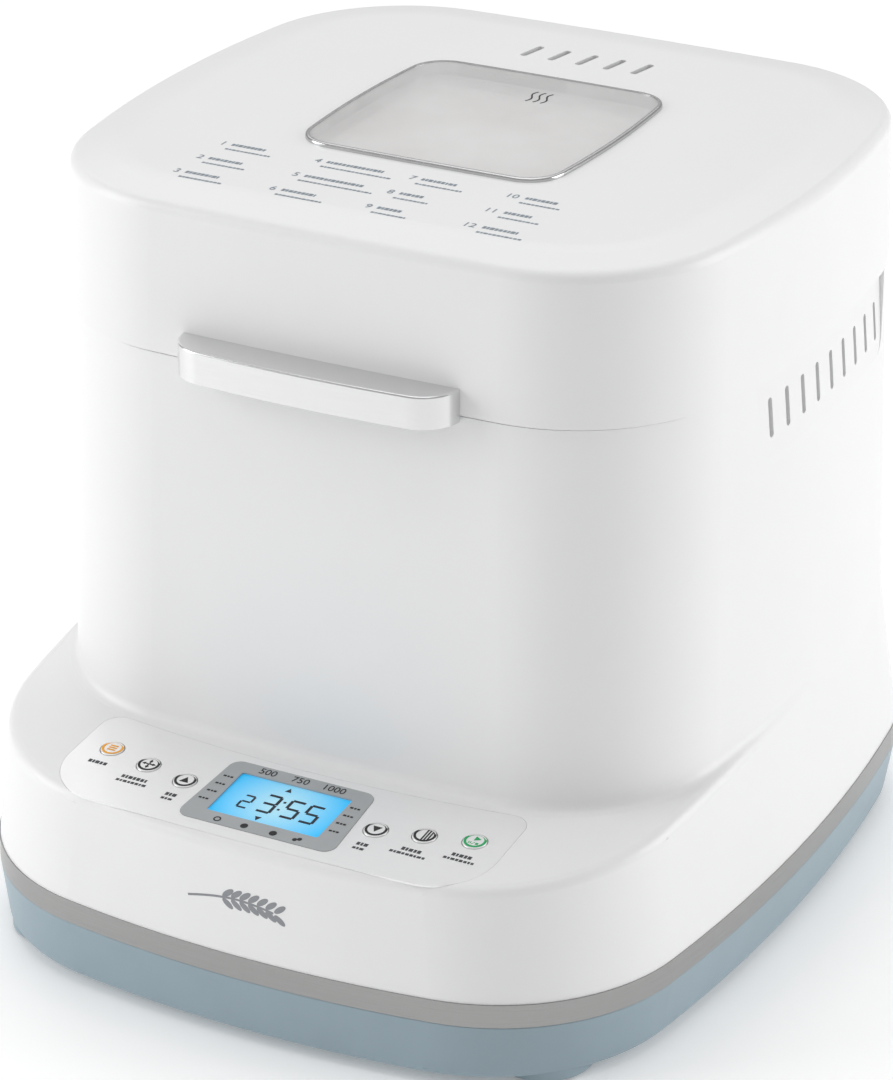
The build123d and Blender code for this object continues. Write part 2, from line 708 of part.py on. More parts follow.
def heat_shield():
    """Bright sheet round the chamber that keeps heat off the housing."""
    bottom, top = 69.0, 204.0
    shield = chamber_wall(9.5, bottom, top) - chamber_wall(9.0, bottom - 1, top + 1)
    shield -= block((-22, 22), (70, 110), (60, 92))
    shield -= block((40, 56), (-110, -70), (104, 120))
    tab_ends = (CHAMBER_HALF_DEPTH + CHAMBER_SHEET, 89.2)
    for x in (-60, 60):
        for y_range in (tab_ends, (-tab_ends[1], -tab_ends[0])):
            shield += block((x - 5, x + 5), y_range, (190, 190.8))
    return shield


# ---- Chassis and drive ---------------------------------------------------------------------
def chassis_plate():
    """Steel plate that carries the motor, the bearing and the power board."""
    plate = prism(make_face(Polyline(
        (-94, -158), (74, -158), (92, -140), (92, 60), (70, 78), (-70, 78), (-92, 60), (-94, 40),
        close=True,
    )), PLATE_BOTTOM, PLATE_TOP)
    plate -= column(0, 0, 20, 40, 9)
    plate -= column(MOTOR_X, MOTOR_Y, 20, 40, 8)
    for x, y in PLATE_SCREW_PLACES:
        plate -= column(x, y, 20, 40, 1.7)
    for x in (-50, 50):
        plate -= prism(Pos(x, 30) * SlotOverall(50, 22, rotation=90), 20, 40)
        plate -= prism(Pos(x, -55) * SlotOverall(50, 22, rotation=90), 20, 40)
    return plate


def base_screw(x, y):
    """Screw that holds the tray to the housing, sunk in its post from below."""
    screw = column(x, y, 22 - 2.4, 22, 3.1)
    screw += column(x, y, 22, 52, 1.5)
    screw -= block((x - 2.4, x + 2.4), (y - 0.4, y + 0.4), (19, 20.6))
    return screw - block((x - 0.4, x + 0.4), (y - 2.4, y + 2.4), (19, 20.6))


def chassis_screw(x, y):
    """Screw that holds the chassis plate to a post of the tray."""
    screw = column(x, y, PLATE_TOP, PLATE_TOP + 2, 3)
    screw += column(x, y, PLATE_BOTTOM - 12, PLATE_TOP, 1.3)
    return screw - block((x - 2.2, x + 2.2), (y - 0.4, y + 0.4), (PLATE_TOP + 1, PLATE_TOP + 3))


def base_and_chassis_screws():
    """All the screws that are driven into the tray's posts, from below and from above."""
    screws = [base_screw(x, y) for x, y in BASE_SCREW_PLACES]
    screws += [chassis_screw(x, y) for x, y in PLATE_SCREW_PLACES]
    return Compound(children=screws)


def bearing_housing():
    """Cast housing for the drive shaft's two bushes, ribbed and bolted to the chassis."""
    housing = column(0, 0, PLATE_TOP, 33.2, 30)
    housing += column(0, 0, 33, 49.2, 13)
    for turn in range(0, 360, 60):
        rib = block((10, 28), (-1.5, 1.5), (33, 40))
        housing += Rot(0, 0, turn) * rib
    housing -= column(0, 0, 20, 60, 7)
    for turn in range(30, 390, 120):
        housing -= Rot(0, 0, turn) * column(24, 0, 20, 60, 2)
    return housing


def shaft_bushes():
    """Sintered bronze bushes, the upper one flanged."""
    bore = SHAFT_RADIUS + RUNNING_FIT
    lower = column(0, 0, PLATE_TOP, 37.2, 7, bore)
    upper = column(0, 0, 41.2, 49.2, 7, bore)
    upper += column(0, 0, 49.2, 50.0, 9, bore)
    return Compound(children=[lower, upper])


def drive_shaft():
    """Steel shaft from the driven pulley up to the drive coupling."""
    shaft = column(0, 0, 10, 57, SHAFT_RADIUS)
    shaft += column(0, 0, 25, 27, SHAFT_RADIUS + 2)
    return chamfer(shaft.edges().sort_by(Axis.Z)[:1], 0.5)


def drive_coupling():
    """Coupling half on the drive shaft, with two driving dogs."""
    coupling = column(0, 0, 51.0, 56.0, 13, SHAFT_RADIUS)
    dogs = column(0, 0, 55.5, 61.0, 13, 8.5)
    wedge = make_face(Polyline((0, 0), (30, 10.92), (30, -10.92), close=True))
    for turn in (0, 180):
        dogs -= Rot(0, 0, turn) * prism(wedge, 50, 70)
    return coupling + dogs


def driven_pulley():
    """Large pulley on the foot of the drive shaft."""
    rim = column(0, 0, PULLEY_BOTTOM, PULLEY_TOP, DRIVEN_PULLEY_RADIUS, DRIVEN_PULLEY_RADIUS - 3)
    flange_low = column(0, 0, PULLEY_BOTTOM, 13, DRIVEN_PULLEY_RADIUS + 1.6, 47)
    flange_high = column(0, 0, 23, PULLEY_TOP, DRIVEN_PULLEY_RADIUS + 1.6, 47)
    web = column(0, 0, 16.5, 19.5, 48, SHAFT_RADIUS)
    hub = column(0, 0, PULLEY_BOTTOM, PULLEY_TOP, 11, SHAFT_RADIUS)
    pulley = rim + flange_low + flange_high + web + hub
    for turn in range(0, 360, 60):
        pulley -= Rot(0, 0, turn) * column(30, 0, 10, 30, 9)
    return pulley


def motor_pulley():
    """Small pulley on the motor shaft."""
    pulley = column(MOTOR_X, MOTOR_Y, PULLEY_BOTTOM, PULLEY_TOP, MOTOR_PULLEY_RADIUS, MOTOR_SHAFT_RADIUS)
    for low, high in ((PULLEY_BOTTOM, 13), (23, PULLEY_TOP)):
        pulley += column(MOTOR_X, MOTOR_Y, low, high, MOTOR_PULLEY_RADIUS + 1.6, MOTOR_SHAFT_RADIUS)
    return pulley


def drive_belt():
    """Flat belt round both pulleys."""
    loops = []
    for extra in (GAP + BELT_THICKNESS, GAP):
        large = Circle(DRIVEN_PULLEY_RADIUS + extra)
        small = Pos(MOTOR_X, MOTOR_Y) * Circle(MOTOR_PULLEY_RADIUS + extra)
        loops.append(make_hull((large.edges() + small.edges())))
    return prism(loops[0] - loops[1], 13.4, 22.6)


def motor_stator():
    """Laminated stator stack."""
    stack = RectangleRounded(58, 58, 6) - Circle(ROTOR_RADIUS + 0.5)
    stack -= [Pos(x, y) * Circle(2.2) for x in (-24, 24) for y in (-24, 24)]
    return prism(Pos(MOTOR_X, MOTOR_Y) * stack, STACK_BOTTOM, STACK_TOP)


def motor_windings():
    """End turns of the copper windings above and below the stack."""
    rings = []
    for low, high in ((33.5, STACK_BOTTOM), (STACK_TOP, 58.5)):
        ring = column(MOTOR_X, MOTOR_Y, low, high, 23, 17)
        rings.append(ring)
    return Compound(children=rings)


def motor_end_bells():
    """Die-cast end covers with the rotor's bearings."""
    bells = []
    for floor, mouth in ((PLATE_TOP, STACK_BOTTOM), (62.0, STACK_TOP)):
        low, high = sorted((floor, mouth))
        bell = prism(Pos(MOTOR_X, MOTOR_Y) * RectangleRounded(54, 54, 8), low, high)
        inner_low = low + 2.5 if floor < mouth else low - 1
        inner_high = high + 1 if floor < mouth else high - 2.5
        bell -= column(MOTOR_X, MOTOR_Y, inner_low, inner_high, 24)
        bell -= column(MOTOR_X, MOTOR_Y, low - 1, high + 1, MOTOR_SHAFT_RADIUS + RUNNING_FIT)
        for x in (-24, 24):
            for y in (-24, 24):
                bell -= column(MOTOR_X + x, MOTOR_Y + y, low - 1, high + 1, 2.2)
        bells.append(bell)
    return Compound(children=bells)


def motor_rotor():
    """Squirrel-cage rotor on its shaft."""
    rotor = column(MOTOR_X, MOTOR_Y, STACK_BOTTOM, STACK_TOP, ROTOR_RADIUS)
    rotor += column(MOTOR_X, MOTOR_Y, STACK_BOTTOM - 3, STACK_TOP + 3, 12)
    return rotor + column(MOTOR_X, MOTOR_Y, 11, 64, MOTOR_SHAFT_RADIUS)


def motor_capacitor():
    """Run capacitor of the motor."""
    can = block((-28, 4), (-156, -140), (PLATE_TOP, 54))
    can = fillet(can.edges().filter_by(Axis.Z), 3)
    for x in (-18, -6):
        can += block((x - 3, x + 3), (-148.4, -147.6), (53, 60))
    return can


def power_board():
    """Circuit board with the relays and mains parts, on four spacers."""
    board = block((-92, -36), (-156, -114), (36, 37.6))
    for x in (-88, -40):
        for y in (-152, -118):
            board += column(x, y, PLATE_TOP, 36.5, 2.5)
    return board


def power_board_components():
    """Transformer, relay, capacitor, terminal block and fuse on the power board."""
    top = 37.6
    parts = [
        block((-90, -66), (-150, -130), (top, 55)),
        block((-62, -50), (-152, -136), (top, 53)),
        column(-44, -146, top, 54, 5),
        block((-88, -52), (-127, -116), (top, 48)),
        bar_x((-50, -38), -126, top + 4, 3),
    ]
    parts[-1] += block((-49, -39), (-128, -124), (top, top + 2))
    return Compound(children=parts)


def control_board():
    """Circuit board under the console."""
    board = Pos(0, -1.5) * RectangleRounded(156, 39, 6)
    return console_slab(board, BOARD_DEPTH, BOARD_DEPTH + 1.6)


def key_switches():
    """Tactile switches under the keys."""
    switches = []
    for x, y in KEY_PLACES.values():
        body = console(x, y, (BOARD_DEPTH + 5.8) / 2) * Box(6.2, 6.2, BOARD_DEPTH - 5.8)
        switches.append(body + console_column(x, y, 5.6, 6.5, 1.75))
    return Compound(children=switches)


def display_module():
    """Liquid crystal display in its frame, standing on the control board."""
    middle = (DISPLAY_REAR + DISPLAY_FRONT) / 2
    frame = Pos(0, middle) * RectangleRounded(50, 31, 1.5)
    return console_slab(frame, 3.0, BOARD_DEPTH)


def display_lens():
    """Clear window in front of the display."""
    return console_slab(display_opening(), 0.4, 1.6)


def display_bezel():
    """Grey bezel round the display."""
    bezel = console_slab(bezel_outline(), -0.2, 2.6)
    return bezel - console_slab(display_opening(), -3, 9)


def control_panel_overlay():
    """Brushed metal-look panel let into the console."""
    panel = panel_outline() - bezel_outline(0.1)
    for x, y in KEY_PLACES.values():
        along = (y - CONSOLE_Y) / cos(radians(CONSOLE_ANGLE))
        panel -= Pos(x, along) * Circle(KEY_HOLE_RADIUS)
    return console_slab(panel, 0.0, OVERLAY)


def key(x, y):
    """Round key with the flange that keeps it in and the stem that works its switch."""
    cap = console_column(x, y, -0.3, 3.2, KEY_RADIUS)
    crown = cap.edges().sort_by(lambda edge: edge.center().Z)[-1]
    cap = fillet([crown], 0.4)
    cap += console_column(x, y, 2.7, 3.6, KEY_FLANGE_RADIUS)
    return cap + console_column(x, y, 3.5, 4.6, 1.5)


# ---- Pan -----------------------------------------------------------------------------------
def pan_loft(inset, bottom, top):
    """Body of the pan, narrower at the bottom, moved in by inset."""
    low_shrink = PAN_DRAFT * (PAN_RIM - bottom) / (PAN_RIM - PAN_BOTTOM) + inset
    high_shrink = PAN_DRAFT * (PAN_RIM - top) / (PAN_RIM - PAN_BOTTOM) + inset
    low = rounded(PAN_HALF_WIDTH - low_shrink, PAN_HALF_DEPTH - low_shrink, PAN_CORNER - inset, bottom)
    high = rounded(PAN_HALF_WIDTH - high_shrink, PAN_HALF_DEPTH - high_shrink, PAN_CORNER - inset, top)
    return loft([low, high], ruled=True)


def bread_pan():
    """Coated aluminium bread pan with a rolled rim."""
    outer = pan_loft(0, PAN_BOTTOM, PAN_RIM)
    outer = fillet(outer.faces().sort_by(Axis.Z)[0].edges(), 5)
    rim = prism(rounded(PAN_HALF_WIDTH + 3, PAN_HALF_DEPTH + 3, PAN_CORNER + 3), PAN_RIM - 3, PAN_RIM)
    rim = fillet(rim.faces().sort_by(Axis.Z)[0].edges() + rim.faces().sort_by(Axis.Z)[-1].edges(), 1.2)
    inner = pan_loft(PAN_WALL, PAN_BOTTOM + PAN_WALL, PAN_RIM + 2)
    inner = fillet(inner.faces().sort_by(Axis.Z)[0].edges(), 4)
    pan = outer + rim - inner
    return pan - column(0, 0, 50, 80, 9)


def pan_base():
    """Foot under the pan, with four bayonet lugs."""
    foot = column(0, 0, 53.5, PAN_BOTTOM, PAN_FOOT_RADIUS, PAN_FOOT_RADIUS - 2.2)
    foot += column(0, 0, PAN_BOTTOM - 1.8, PAN_BOTTOM, PAN_FOOT_RADIUS, 22)
    for turn in (0, 90, 180, 270):
        foot += Rot(0, 0, turn) * block((45, 49), (-4, 4), (55, 58))
    return foot


def pan_bushing():
    """Bearing in the pan's floor for the paddle shaft."""
    bushing = column(0, 0, 64.2, 71.5, 9)
    bushing += column(0, 0, 64.2, PAN_BOTTOM, 14)
    bushing += column(0, 0, PAN_BOTTOM + PAN_WALL, 69.2, 12)
    return bushing - column(0, 0, 50, 90, SHAFT_RADIUS + RUNNING_FIT)


def pan_ears():
    """Riveted lugs that carry the pan's bail."""
    ears = []
    for side in (-1, 1):
        plate = block(sorted((side * 73, side * 74.6)), (-9, 9), (184, 204))
        plate = fillet(plate.edges().filter_by(Axis.X).sort_by(Axis.Z)[-2:], 7)
        strap = block(sorted((side * 69.3, side * 73)), (-9, 9), (184, 191))
        ear = plate + (strap - pan_loft(0, PAN_BOTTOM, PAN_RIM))
        ear -= bar_x(sorted((side * 60, side * 90)), 0, BAIL_PIVOT_Z, BAIL_WIRE + 0.1)
        ears.append(ear)
    return Compound(children=ears)


def pan_handle_wire():
    """Bail, folded down towards the front along the rim, its ends hooked into the ears."""
    front = -BAIL_REACH
    points = [
        (-71.0, 0), (-79.0, 0), (-79.0, -30), (-58, front), (58, front), (79.0, -30), (79.0, 0), (71.0, 0),
    ]
    path = Pos(0, 0, BAIL_PIVOT_Z) * FilletPolyline(*points, radius=[3, 24, 16, 16, 24, 3])
    start = Plane(origin=(-71.0, 0, BAIL_PIVOT_Z), z_dir=(-1, 0, 0))
    return sweep(start * Circle(BAIL_WIRE), path)


def pan_handle_grip():
    """Plastic sleeve in the middle of the bail."""
    grip = bar_x((-24, 24), -BAIL_REACH, BAIL_PIVOT_Z, 3.6)
    grip = fillet(grip.edges(), 1)
    return grip - bar_x((-30, 30), -BAIL_REACH, BAIL_PIVOT_Z, BAIL_WIRE)


def pan_shaft():
    """Shaft through the pan's floor, with the crossbar that the drive coupling turns."""
    shaft = column(0, 0, 57.6, 90, SHAFT_RADIUS)
    shaft += column(0, 0, 57.6, 63.8, 6)
    bar = block((-12.4, 12.4), (-2.4, 2.4), (57.6, 61.2))
    return shaft + bar


def kneading_paddle():
    """Paddle that sits on the pan's shaft."""
    hub_plan = Circle(9.5)
    hub = extrude(Pos(0, 0, 72) * hub_plan, 20, taper=5)
    hub = fillet(hub.faces().sort_by(Axis.Z)[-1].edges(), 2)
    outline_points = [(0, 72.3), (46, 72.3), (50, 76), (44, 90), (24, 98), (7, 95), (0, 91)]
    blade = Plane.XZ * make_face(Polyline(*outline_points, close=True))
    blade = extrude(blade, 1.8, both=True)
    return (hub + blade) - column(0, 0, 60, 90, SHAFT_RADIUS)


# ---- Wiring inside the housing -------------------------------------------------------------
def wire(points, radii, radius):
    """Insulated wire along a route of straight runs and arcs."""
    path = FilletPolyline(*points, radius=radii)
    first, second = Vector(*points[0]), Vector(*points[1])
    start = Plane(origin=first, z_dir=second - first)
    return sweep(start * Circle(radius), path)


def heater_leads():
    """Two leads from the heater's ends round the chamber to the power board."""
    leads = []
    for offset_out, x in ((0.0, -12), (4.0, 12)):
        side = -103 - offset_out
        points = [
            (x, 96.3, HEATER_Z), (x, 104 + offset_out, HEATER_Z), (-60, 104 + offset_out, 66),
            (side, 60, 60), (side, -80, 56), (-84 + 6 * offset_out, -121, 56),
            (-84 + 6 * offset_out, -121, 48.2),
        ]
        leads.append(wire(points, [3, 20, 25, 20, 3], 1.3))
    return Compound(children=leads)



# ---- Everything that is written ------------------------------------------------------------
PIECES = {
    "rubber_feet": rubber_feet,
    "base_tray": base_tray,
    "trim_band": trim_band,
    "housing_shell": housing_shell,
    "top_deck": top_deck,
    "cord_gland": cord_gland,
    "hinge_brackets": hinge_brackets,
    "hinge_pins": hinge_pins,
    "baking_chamber": baking_chamber,
    "chamber_pan_seat": chamber_pan_seat,
    "heating_element": heating_element,
    "heater_insulators": heater_insulators,
    "heater_brackets": heater_brackets,
    "temperature_sensors": temperature_sensors,
    "heat_shield": heat_shield,
    "chassis_plate": chassis_plate,
    "base_and_chassis_screws": base_and_chassis_screws,
    "bearing_housing": bearing_housing,
    "shaft_bushes": shaft_bushes,
    "motor_stator": motor_stator,
    "motor_windings": motor_windings,
    "motor_end_bells": motor_end_bells,
    "motor_capacitor": motor_capacitor,
    "power_board": power_board,
    "power_board_components": power_board_components,
    "control_board": control_board,
    "key_switches": key_switches,
    "display_module": display_module,
    "display_lens": display_lens,
    "display_bezel": display_bezel,
    "control_panel_overlay": control_panel_overlay,
    "drive_belt": drive_belt,
    "heater_leads": heater_leads,
    "drive_shaft": drive_shaft,
    "drive_coupling": drive_coupling,
    "driven_pulley": driven_pulley,
    "motor_rotor": motor_rotor,
    "motor_pulley": motor_pulley,
    "lid_shell": lid_shell,
    "lid_inner_cover": lid_inner_cover,
    "lid_ceiling_plate": lid_ceiling_plate,
    "lid_seal": lid_seal,
    "lid_handle": lid_handle,
    "window_frame": window_frame,
    "window_glass": window_glass,
    "inner_glass": inner_glass,
    "bread_pan": bread_pan,
    "pan_base": pan_base,
    "pan_bushing": pan_bushing,
    "pan_ears": pan_ears,
    "pan_handle_wire": pan_handle_wire,
    "pan_handle_grip": pan_handle_grip,
    "pan_shaft": pan_shaft,
    "kneading_paddle": kneading_paddle,
}

for name, make in PIECES.items():
    save(name, make())
for name, (key_x, key_y) in KEY_PLACES.items():
    save(name, key(key_x, key_y))
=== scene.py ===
# Looks for the bread machine: finishes, printed marks, display, light and camera around the CAD frame.

from math import cos, pi, radians, sin, sqrt

import bmesh
import bpy
from mathutils import Matrix, Vector
from mathutils.bvhtree import BVHTree


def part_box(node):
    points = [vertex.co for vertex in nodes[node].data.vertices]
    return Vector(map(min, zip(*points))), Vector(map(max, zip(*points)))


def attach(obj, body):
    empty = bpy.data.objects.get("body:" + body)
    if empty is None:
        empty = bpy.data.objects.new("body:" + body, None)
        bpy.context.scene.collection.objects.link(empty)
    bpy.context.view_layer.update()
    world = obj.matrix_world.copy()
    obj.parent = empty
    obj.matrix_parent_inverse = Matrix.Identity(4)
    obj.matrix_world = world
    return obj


MM = 0.001

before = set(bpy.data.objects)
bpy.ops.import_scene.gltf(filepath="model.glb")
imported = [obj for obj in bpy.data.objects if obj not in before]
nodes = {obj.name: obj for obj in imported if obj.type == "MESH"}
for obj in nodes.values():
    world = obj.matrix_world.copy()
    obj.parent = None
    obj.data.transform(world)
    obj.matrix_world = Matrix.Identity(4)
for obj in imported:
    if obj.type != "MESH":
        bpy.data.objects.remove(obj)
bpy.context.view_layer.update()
scene = bpy.context.scene


# ---- Procedural finishes -------------------------------------------------------------------

def lighter(colour, share):
    """The colour, brighter by that share, with its alpha."""
    return tuple(min(1.0, channel * (1 + share)) for channel in colour[:3]) + (1.0,)


class Finish:
    """A material whose colour, roughness and bump come from noise in the piece's own coordinates."""

    def __init__(self, name, scale=1.0, stretch=(1.0, 1.0, 1.0)):
        self.material = bpy.data.materials.new(name)
        self.material.use_nodes = True
        self.tree = self.material.node_tree
        self.shader = self.tree.nodes["Principled BSDF"]
        place = self.node("ShaderNodeTexCoord")
        self.space = self.node("ShaderNodeMapping")
        self.space.inputs["Scale"].default_value = [scale * part for part in stretch]
        self.link(place.outputs["Object"], self.space.inputs["Vector"])

    def node(self, kind):
        return self.tree.nodes.new(kind)

    def link(self, start, end):
        self.tree.links.new(start, end)

    def noise(self, scale, detail=3.0, rough=0.5):
        """A noise pattern of that many cells to the metre."""
        pattern = self.node("ShaderNodeTexNoise")
        pattern.inputs["Scale"].default_value = scale
        pattern.inputs["Detail"].default_value = detail
        pattern.inputs["Roughness"].default_value = rough
        self.link(self.space.outputs["Vector"], pattern.inputs["Vector"])
        return pattern.outputs["Fac"]

    def between(self, value, low, high, socket, start=0.3, end=0.7):
        """Feeds the socket with a value that runs from low to high as the pattern runs from start to end."""
        ramp = self.node("ShaderNodeMapRange")
        ramp.inputs["From Min"].default_value = start
        ramp.inputs["From Max"].default_value = end
        ramp.inputs["To Min"].default_value = low
        ramp.inputs["To Max"].default_value = high
        self.link(value, ramp.inputs["Value"])
        self.link(ramp.outputs["Result"], self.shader.inputs[socket])

    def colours(self, value, first, second, socket="Base Color", start=0.3, end=0.7):
        """Feeds the socket with a colour between the two, as the pattern runs from start to end."""
        ramp = self.node("ShaderNodeValToRGB")
        ramp.color_ramp.elements[0].position = start
        ramp.color_ramp.elements[0].color = first
        ramp.color_ramp.elements[1].position = end
        ramp.color_ramp.elements[1].color = second
        self.link(value, ramp.inputs["Fac"])
        self.link(ramp.outputs["Color"], self.shader.inputs[socket])

    def bump(self, value, height):
        """Raises the surface by that many metres where the pattern is high."""
        bump = self.node("ShaderNodeBump")
        bump.inputs["Strength"].default_value = 1.0
        bump.inputs["Distance"].default_value = height
        self.link(value, bump.inputs["Height"])
        self.link(bump.outputs["Normal"], self.shader.inputs["Normal"])

    def set(self, **values):
        for name, value in values.items():
            self.shader.inputs[name.replace("_", " ")].default_value = value


def surface(name, colour, rough, spread=0.05, vary=0.04, cells=60.0, grain=900.0, height=4e-6,
            stretch=(1.0, 1.0, 1.0), metal=0.0, **more):
    """A solid finish: soft colour drift over the cells, and a fine grain in its roughness and bump."""
    finish = Finish(name, stretch=stretch)
    finish.colours(finish.noise(cells), lighter(colour, -vary), lighter(colour, vary))
    fine = finish.noise(grain)
    finish.between(fine, rough - spread, rough + spread, "Roughness")
    finish.bump(fine, height)
    finish.set(Metallic=metal, **more)
    return finish.material


def brushed(name, colour, rough, stretch, vary=0.08, height=3e-6, metal=1.0, spread=0.07):
    """Metal brushed along one direction: long thin streaks in its colour, roughness and bump."""
    finish = Finish(name, stretch=stretch)
    streaks = finish.noise(1.0, detail=4.0, rough=0.65)
    finish.colours(streaks, lighter(colour, -vary), lighter(colour, vary))
    finish.between(streaks, rough - spread, rough + spread, "Roughness")
    finish.bump(streaks, height)
    finish.set(Metallic=metal)
    return finish.material


def glass(name, colour, rough, alpha, vary=0.08, cells=30.0):
    """A clear or hazy pane, drawn as a thin skin that lets part of the light through."""
    finish = Finish(name)
    haze = finish.noise(cells, detail=2.0)
    finish.colours(haze, lighter(colour, -vary), lighter(colour, vary))
    finish.between(haze, rough, rough + 0.05, "Roughness")
    finish.set(Alpha=alpha, IOR=1.5)
    return finish.material


def glow_with_painted_highlight(name, edge, middle, centre, reach, strength):
    """A backlit panel with a painted highlight: palest at its centre, it fades to the edge colour over the
    reach.
    """
    finish = Finish(name)
    finish.space.vector_type = "TEXTURE"
    finish.space.inputs["Location"].default_value = centre
    finish.space.inputs["Scale"].default_value = (reach, reach, reach)
    away = finish.node("ShaderNodeVectorMath")
    away.operation = "LENGTH"
    finish.link(finish.space.outputs["Vector"], away.inputs[0])
    # painted highlight: the pale centre colour feeds both the glow and the base colour
    finish.colours(away.outputs["Value"], middle, edge, "Emission Color", 0.1, 1.0)
    finish.colours(away.outputs["Value"], middle, edge, "Base Color", 0.1, 1.0)
    finish.set(Emission_Strength=strength, Roughness=0.4)
    return finish.material


# the painted highlight at the display's centre fades out to the deep blue over this reach
PAINTED_HIGHLIGHT_REACH = 24 * MM       # from the middle of the display to its deepest blue

display_low, display_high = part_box("display_lens")
display_centre = (display_low + display_high) / 2

FINISHES = {
    "white_plastic": surface("white_plastic", (0.85, 0.85, 0.852), 0.33, spread=0.02, vary=0.006, cells=25,
                             grain=1800, height=4e-7),
    "blue_grey_plastic": surface("blue_grey_plastic", (0.29, 0.375, 0.425), 0.38, spread=0.03, vary=0.03,
                                 cells=40, grain=1800, height=6e-7),
    "band_steel": brushed("band_steel", (0.35, 0.35, 0.345), 0.30, (25, 25, 4000), 0.05, 8e-7, spread=0.03),
    "rubber_black": surface("rubber_black", (0.035, 0.038, 0.04), 0.75, vary=0.15, height=1.5e-5),
    "sheet_steel": brushed("sheet_steel", (0.60, 0.60, 0.60), 0.38, (50, 1400, 1400), 0.05, 8e-7,
                           spread=0.04),
    "zinc_steel": surface("zinc_steel", (0.56, 0.57, 0.58), 0.36, vary=0.10, cells=260, metal=1.0),
    "cast_aluminium": surface("cast_aluminium", (0.58, 0.59, 0.60), 0.48, vary=0.08, cells=420,
                              grain=1600, height=1.6e-5, metal=1.0),
    "bronze": surface("bronze", (0.58, 0.38, 0.18), 0.35, vary=0.12, cells=500, metal=1.0),
    "lamination_steel": brushed("lamination_steel", (0.22, 0.23, 0.25), 0.45, (30, 30, 5200), 0.3, 2e-5),
    "copper_winding": brushed("copper_winding", (0.62, 0.25, 0.10), 0.30, (30, 30, 3600), 0.3, 4e-5),
    "black_plastic": surface("black_plastic", (0.03, 0.03, 0.032), 0.48, vary=0.2, height=8e-6),
    "grey_plastic": surface("grey_plastic", (0.40, 0.42, 0.43), 0.42, vary=0.04),
    "circuit_board": surface("circuit_board", (0.02, 0.16, 0.06), 0.30, vary=0.35, cells=330,
                             height=1.2e-5),
    "component_mix": surface("component_mix", (0.06, 0.07, 0.12), 0.45, vary=0.6, cells=140),
    # the display's own backlit glow, with a painted highlight as its pale centre
    "display_blue": glow_with_painted_highlight("display_blue", (0.015, 0.44, 0.83, 1.0), (0.37, 0.66, 0.78, 1.0),
                         display_centre, PAINTED_HIGHLIGHT_REACH, 0.38),
    "clear_lens": glass("clear_lens", (0.80, 0.90, 0.95), 0.06, 0.06),
    "window_glass": glass("window_glass", (1.0, 0.985, 0.98), 0.04, 0.56),
    "panel_silver": brushed("panel_silver", (0.90, 0.90, 0.90), 0.28, (12, 900, 900), 0.006, 1e-7,
                            metal=0.4, spread=0.005),
    "handle_aluminium": brushed("handle_aluminium", (0.76, 0.76, 0.765), 0.24, (14, 2400, 2400), 0.03, 5e-7,
                                spread=0.03),
    "chrome_trim": surface("chrome_trim", (0.58, 0.58, 0.585), 0.22, vary=0.03, metal=1.0, height=1e-6),
    "nonstick_coating": surface("nonstick_coating", (0.045, 0.045, 0.05), 0.42, vary=0.25, cells=900,
                                grain=2600, height=1.2e-5),
    "heater_alloy": surface("heater_alloy", (0.16, 0.155, 0.15), 0.50, vary=0.3, cells=300, metal=0.8),
    "ceramic": surface("ceramic", (0.84, 0.81, 0.74), 0.55, vary=0.05, cells=400, height=1e-5),
    "silicone": surface("silicone", (0.55, 0.53, 0.49), 0.60, vary=0.06, height=8e-6),
    "belt_rubber": surface("belt_rubber", (0.035, 0.035, 0.035), 0.7, vary=0.2, height=2e-5),
    "nylon": surface("nylon", (0.76, 0.73, 0.64), 0.45, vary=0.04, height=6e-6),
    "wire_insulation": surface("wire_insulation", (0.72, 0.70, 0.66), 0.50, vary=0.1, cells=200),
}
HAZY_GLASS = glass("hazy_glass", (0.90, 0.88, 0.87), 0.35, 0.94, vary=0.06, cells=26.0)


def dress_cad_parts():
    """Gives every CAD part the finish of its own slot, but for the inner glass and the lit display."""
    for part in nodes.values():
        for index, old in enumerate(part.data.materials):
            part.data.materials[index] = FINISHES[old.name.split(".")[0]]
    nodes["inner_glass"].data.materials[0] = HAZY_GLASS
    nodes["display_lens"].data.materials[0] = FINISHES["display_blue"]


# ---- Printed marks -------------------------------------------------------------------------

INK_LIFT = 0.03 * MM       # how far the ink stands above what it is printed on
INK_THICKNESS = 0.05 * MM
CURVE_STEP = 1.5 * MM      # longest straight piece of a printed stroke

INKS = {
    "ink_black": surface("ink_black", (0.015, 0.015, 0.017), 0.60, vary=0.2, height=1e-6),
    "ink_grey": surface("ink_grey", (0.05, 0.055, 0.06), 0.60, vary=0.08, height=1e-6),
    "ink_silver": surface("ink_silver", (0.26, 0.27, 0.29), 0.50, vary=0.05, height=1e-6),
    "ink_slate": surface("ink_slate", (0.20, 0.245, 0.29), 0.45, vary=0.08, height=1e-6),
    "ink_orange": surface("ink_orange", (0.90, 0.40, 0.02), 0.60, vary=0.06, height=1e-6),
    "ink_green": surface("ink_green", (0.003, 0.38, 0.11), 0.60, vary=0.06, height=1e-6),
    "ink_display": surface("ink_display", (0.006, 0.012, 0.025), 0.5, vary=0.1, height=1e-6),
}


